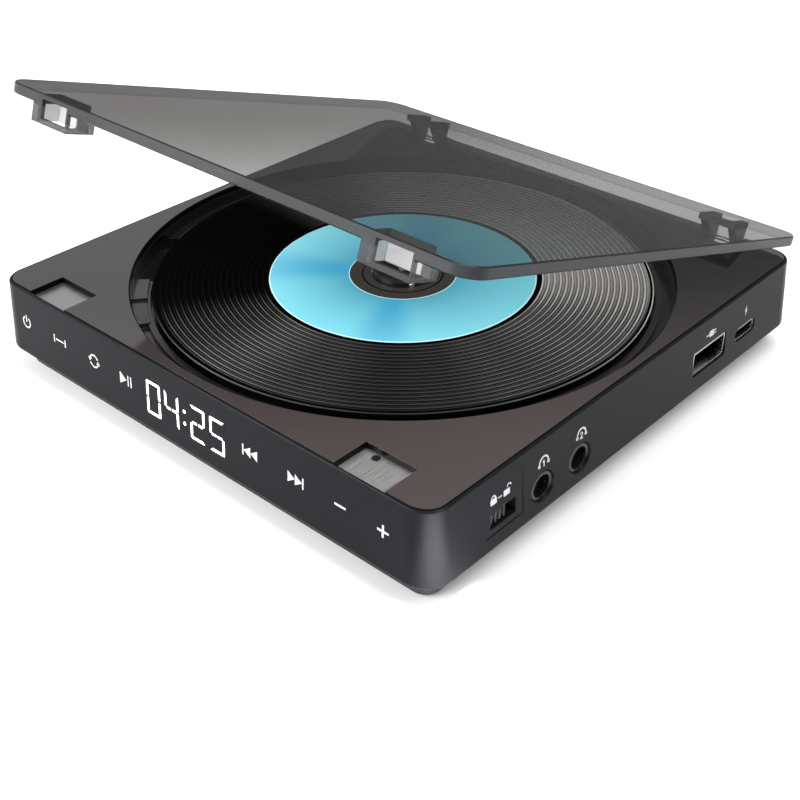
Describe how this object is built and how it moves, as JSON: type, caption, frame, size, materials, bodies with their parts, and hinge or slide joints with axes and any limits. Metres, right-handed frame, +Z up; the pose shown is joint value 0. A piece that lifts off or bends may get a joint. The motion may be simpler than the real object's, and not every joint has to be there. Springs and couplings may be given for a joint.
{
  "type": "portable cd player",
  "caption": "Square portable disc player with a smoked hinged lid, touch keys with a front display, a turntable in a round well, and sockets and a lock switch on the right side.",
  "frame": {"origin": "bottom centre of the whole object's box, at the undersides of the feet, with the lid part-way open", "axes": "+Z up, the key face looks along -Y, the sockets face +X, the lid's hinge is at +Y"},
  "size_m": [0.1382, 0.1388, 0.0704],
  "materials": {
    "case": "fine satin, dark grey",
    "deck": "smooth gloss, dark grey",
    "well": "black, half gloss",
    "cover": "fine texture, black",
    "rubber": "matt black",
    "screw": "blackened steel",
    "smoked": "clear smoked, polished",
    "window": "smoked insert",
    "bright_plate": "satin",
    "black_plastic": "black",
    "hinge_plastic": "dark, satin",
    "steel": "ground steel",
    "plated": "bright plated",
    "chassis_steel": "zinc plated sheet",
    "disc_black": "black, grooved, with a light blue label",
    "alloy": "die-cast, grey",
    "lens": "clear lens in a black holder",
    "white_plastic": "white acetal",
    "board": "green solder mask",
    "chip": "black epoxy",
    "can": "sleeved capacitor can",
    "cell": "printed wrap, plain",
    "copper": "plated copper pads",
    "flex": "amber film",
    "led": "black face with white segments"
  },
  "bodies": {
    "case": {"case_body": "case", "deck_cover": "deck", "disc_well": "well", "bottom_cover": "cover", "feet": "rubber", "case_screws": "screw", "display_window": "window", "catch_plates": "bright_plate", "lid_sensor": "black_plastic", "left_hinge_bracket": "hinge_plastic", "right_hinge_bracket": "hinge_plastic", "hinge_pins": "steel", "mechanism_chassis": "chassis_steel", "isolation_dampers": "rubber", "mechanism_screws": "screw", "spindle_motor": "plated", "guide_rods": "steel", "sled_motor": "plated", "headphone_jack_1": "black_plastic", "headphone_jack_2": "black_plastic", "data_port_shell": "plated", "data_port_tongue": "white_plastic", "charge_port_shell": "plated", "charge_port_tongue": "black_plastic", "main_board": "board", "board_screws": "screw", "board_chips": "chip", "capacitors": "can", "battery": "cell", "touch_board": "board", "touch_pads": "copper", "led_display": "led", "hold_switch_body": "black_plastic", "flex_cable": "flex"},
    "lid": {"lid_panel": "smoked", "left_hinge_arm": "hinge_plastic", "right_hinge_arm": "hinge_plastic"},
    "turntable": {"spindle_shaft": "steel", "turntable_hub": "black_plastic", "friction_ring": "rubber", "disc": "disc_black"},
    "chuck_ball_1": {"chuck_ball_1": "steel"},
    "chuck_ball_2": {"chuck_ball_2": "steel"},
    "chuck_ball_3": {"chuck_ball_3": "steel"},
    "pickup": {"pickup_sled": "alloy", "sled_nut": "white_plastic"},
    "lens": {"pickup_lens": "lens"},
    "lead_screw": {"lead_screw": "steel"},
    "hold_switch": {"hold_switch_knob": "black_plastic"}
  },
  "joints": [
    {"name": "lid_hinge", "type": "hinge", "parent": "case", "child": "lid", "pos_m": [0, 0.06581, 0.0224], "axis": [-1, 0, 0], "range_deg": [-18.3, 71.7]},
    {"name": "spindle_spin", "type": "hinge", "parent": "case", "child": "turntable", "pos_m": [0, -0.00039, 0.016], "axis": [0, 0, 1], "continuous": true},
    {"name": "chuck_ball_1_press", "type": "slide", "parent": "turntable", "child": "chuck_ball_1", "axis": [0, -1, 0], "range_m": [0, 0.0005], "stiffness_N_per_m": 300, "springref_m": -0.0005},
    {"name": "chuck_ball_2_press", "type": "slide", "parent": "turntable", "child": "chuck_ball_2", "axis": [0.866, 0.5, 0], "range_m": [0, 0.0005], "stiffness_N_per_m": 300, "springref_m": -0.0005},
    {"name": "chuck_ball_3_press", "type": "slide", "parent": "turntable", "child": "chuck_ball_3", "axis": [-0.866, 0.5, 0], "range_m": [0, 0.0005], "stiffness_N_per_m": 300, "springref_m": -0.0005},
    {"name": "pickup_slide", "type": "slide", "parent": "case", "child": "pickup", "axis": [-1, 0, 0], "range_m": [0, 0.033]},
    {"name": "lens_focus", "type": "slide", "parent": "pickup", "child": "lens", "axis": [0, 0, 1], "range_m": [-0.0004, 0.0004], "stiffness_N_per_m": 40},
    {"name": "lead_screw_turn", "type": "hinge", "parent": "case", "child": "lead_screw", "pos_m": [-0.03, 0.01921, 0.0086], "axis": [1, 0, 0], "continuous": true},
    {"name": "hold_switch_slide", "type": "slide", "parent": "case", "child": "hold_switch", "axis": [0, 1, 0], "range_m": [0, 0.0023]}
  ],
  "couplings": [
    {"joint": "lead_screw_turn", "follows": "pickup_slide", "rad_per_m": 3141.6}
  ]
}
